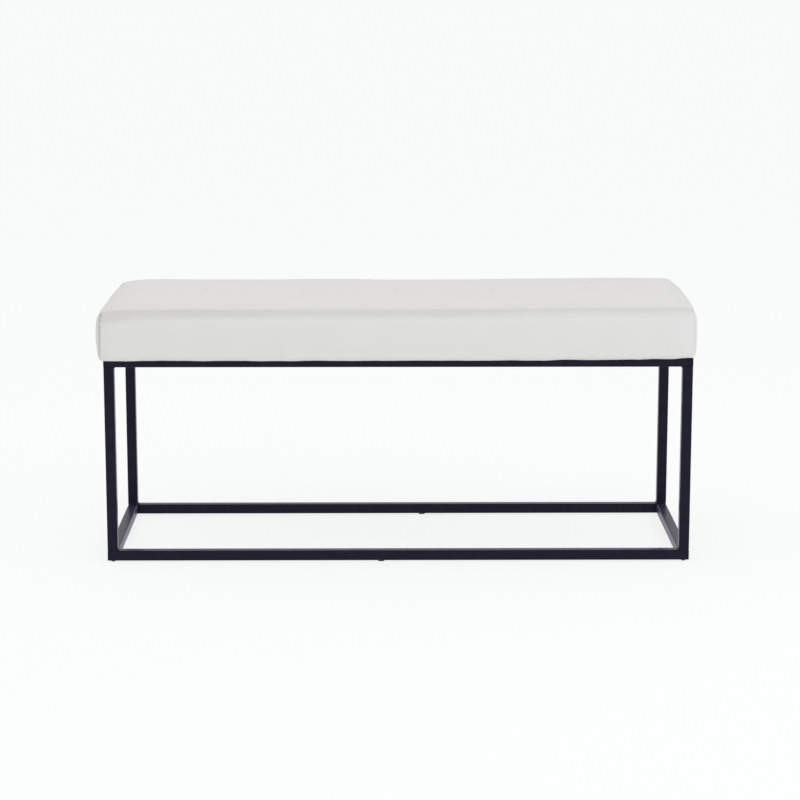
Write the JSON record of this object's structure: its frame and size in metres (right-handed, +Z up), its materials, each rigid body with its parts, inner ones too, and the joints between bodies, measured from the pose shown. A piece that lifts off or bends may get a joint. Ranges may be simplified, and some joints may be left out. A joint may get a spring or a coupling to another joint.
{
  "type": "entryway bench",
  "caption": "Long upholstered bench: crowned box cushion on an open square-tube steel frame with mitred corners and small levelling feet.",
  "frame": {"origin": "on the floor, under the middle of the bench", "axes": "+X along the bench's length to its right end, -Y to its front, +Z up"},
  "size_m": [1.156, 0.426, 0.508],
  "materials": {
    "powder_coat": "satin",
    "nylon": "matte",
    "zinc": "satin",
    "plywood": "matte",
    "foam": "matte",
    "wadding": "matte",
    "cover": "satin",
    "dust_cloth": "matte",
    "twine": "matte"
  },
  "bodies": {
    "bench": {"lower_front_rail": "powder_coat", "lower_right_rail": "powder_coat", "lower_back_rail": "powder_coat", "lower_left_rail": "powder_coat", "upper_front_rail": "powder_coat", "upper_right_rail": "powder_coat", "upper_back_rail": "powder_coat", "upper_left_rail": "powder_coat", "front_left_leg": "powder_coat", "front_right_leg": "powder_coat", "back_left_leg": "powder_coat", "back_right_leg": "powder_coat", "left_crossbar": "powder_coat", "middle_crossbar": "powder_coat", "right_crossbar": "powder_coat", "front_left_glide": "nylon", "front_right_glide": "nylon", "back_left_glide": "nylon", "back_right_glide": "nylon", "front_rivet_nut": "zinc", "back_rivet_nut": "zinc", "pad_screws": "zinc", "pad_washers": "zinc", "tee_nuts": "zinc", "staples": "zinc", "seat_board": "plywood", "foam_core": "foam", "wadding": "wadding", "cover_top": "cover", "cover_front": "cover", "cover_right": "cover", "cover_back": "cover", "cover_left": "cover", "dust_cover": "dust_cloth", "tuft_ties": "twine"},
    "front_foot": {"front_foot": "nylon"},
    "front_stud": {"front_stud": "zinc"},
    "back_foot": {"back_foot": "nylon"},
    "back_stud": {"back_stud": "zinc"}
  },
  "joints": [
    {"name": "front_foot_slide", "type": "slide", "parent": "bench", "child": "front_foot", "axis": [0, 0, -1], "range_m": [0, 0.008]},
    {"name": "front_stud_turn", "type": "hinge", "parent": "front_foot", "child": "front_stud", "pos_m": [-0.034, -0.195, 0.003], "axis": [0, 0, -1], "range_deg": [0, 2881]},
    {"name": "back_foot_slide", "type": "slide", "parent": "bench", "child": "back_foot", "axis": [0, 0, -1], "range_m": [0, 0.008]},
    {"name": "back_stud_turn", "type": "hinge", "parent": "back_foot", "child": "back_stud", "pos_m": [0.052, 0.195, 0.003], "axis": [0, 0, -1], "range_deg": [0, 2881]}
  ],
  "couplings": [
    {"joint": "front_stud_turn", "follows": "front_foot_slide", "rad_per_m": 6283.2},
    {"joint": "back_stud_turn", "follows": "back_foot_slide", "rad_per_m": 6283.2}
  ]
}
